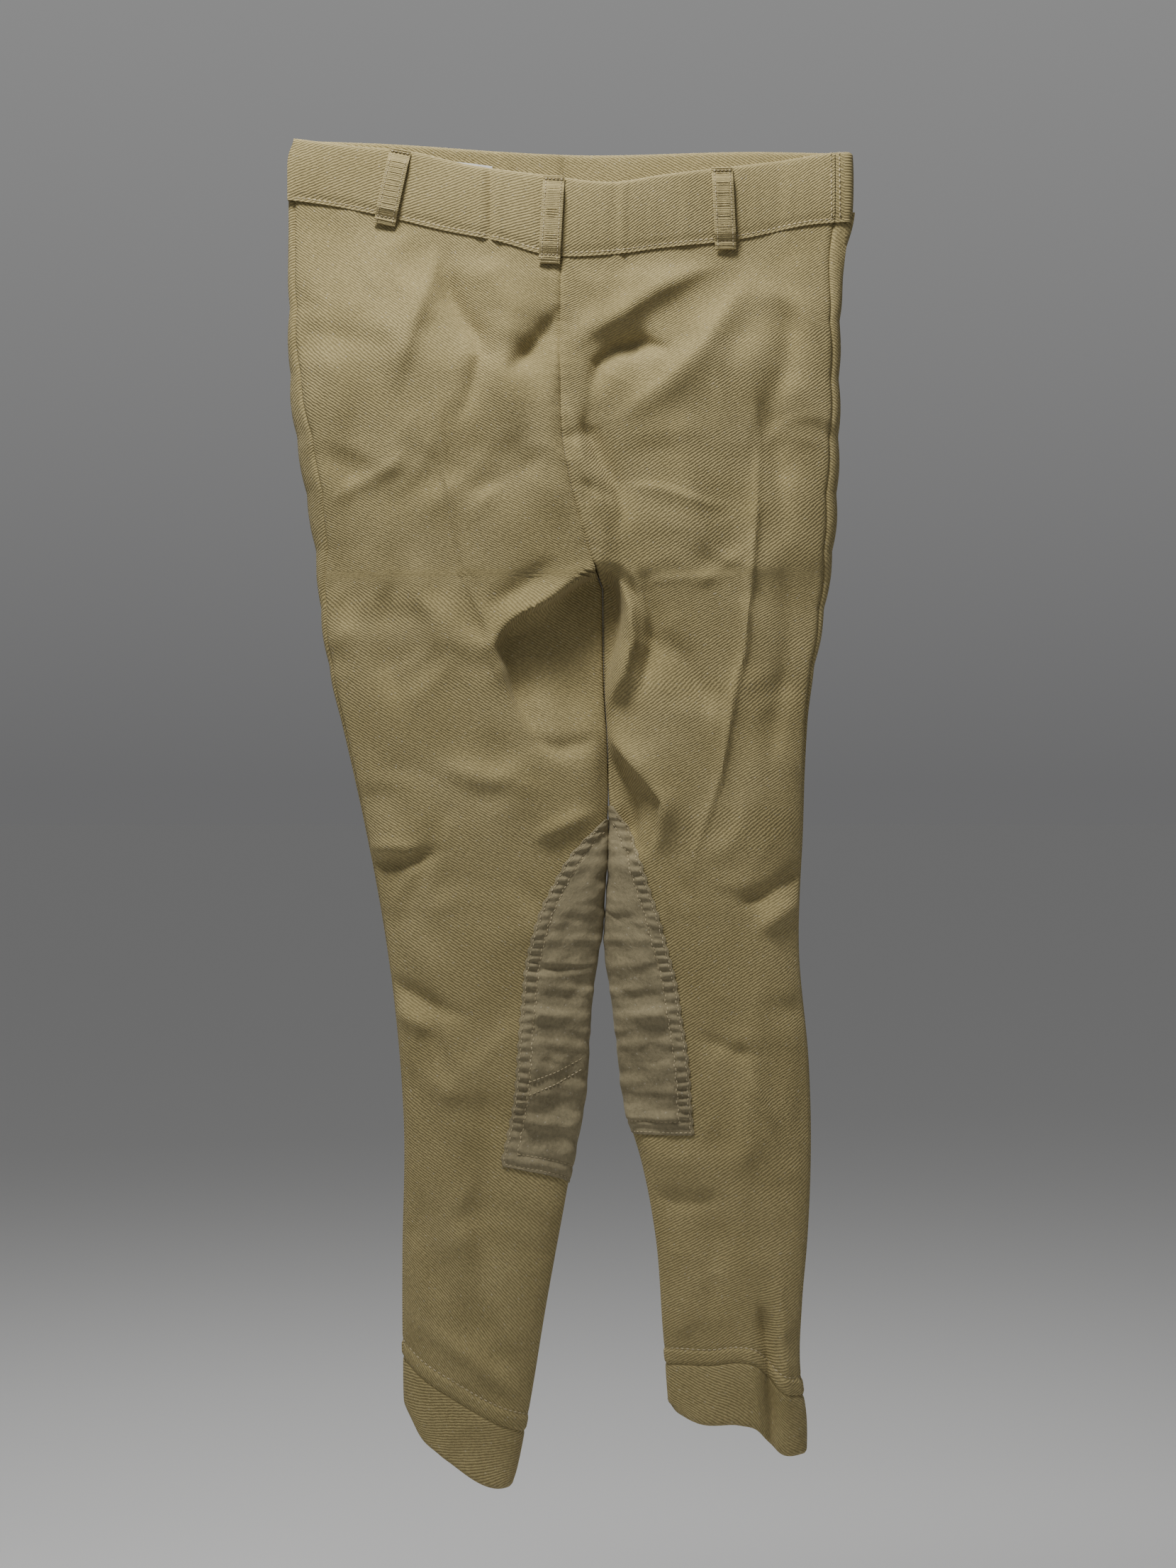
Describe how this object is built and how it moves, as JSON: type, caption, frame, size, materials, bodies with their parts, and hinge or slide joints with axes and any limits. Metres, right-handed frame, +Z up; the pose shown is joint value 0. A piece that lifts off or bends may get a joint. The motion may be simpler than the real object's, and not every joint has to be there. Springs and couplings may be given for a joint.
{
  "type": "riding jodhpurs",
  "caption": "Child's pull-on riding trousers with elastic waistband, belt loops, inner knee patches and turned hem cuffs, hung by the band.",
  "frame": {"origin": "middle of the waist line at the top of the waistband, halfway between the two clip places", "axes": "+Z up as it hangs, -Y is the front of the garment, +X is the wearer's left"},
  "size_m": [0.286, 0.0549, 0.681],
  "materials": {
    "knit": "matt ribbed cotton knit, slightly fuzzy",
    "napped_knit": "napped, suede-like",
    "thread": "spun sewing thread",
    "elastic": "woven elastic",
    "label": "smooth woven ribbon, blank"
  },
  "bodies": {
    "seat": {"waistband_front": "knit", "waist_elastic_front": "elastic", "waist_topstitch_front": "thread", "waistband_back": "knit", "waist_elastic_back": "elastic", "waist_topstitch_back": "thread", "care_label": "label", "belt_loop_front_right": "knit", "belt_loop_front_centre": "knit", "belt_loop_front_left": "knit", "belt_loop_back_right": "knit", "belt_loop_back_centre": "knit", "belt_loop_back_left": "knit", "right_front_panel_seat": "knit", "right_back_panel_seat": "knit", "left_front_panel_seat": "knit", "left_back_panel_seat": "knit"},
    "right_leg": {"right_front_panel_leg": "knit", "right_back_panel_leg": "knit", "right_cuff": "knit", "right_hem_topstitch": "thread", "right_knee_patch": "napped_knit", "right_patch_topstitch": "thread"},
    "left_leg": {"left_front_panel_leg": "knit", "left_back_panel_leg": "knit", "left_cuff": "knit", "left_hem_topstitch": "thread", "left_knee_patch": "napped_knit", "left_patch_topstitch": "thread"}
  },
  "joints": [
    {"name": "right_leg_swing", "type": "hinge", "parent": "seat", "child": "right_leg", "pos_m": [0.016, 0, -0.244], "axis": [-1, 0, 0], "range_deg": [-15, 75]},
    {"name": "left_leg_swing", "type": "hinge", "parent": "seat", "child": "left_leg", "pos_m": [0.016, 0, -0.244], "axis": [-1, 0, 0], "range_deg": [-15, 75]}
  ]
}
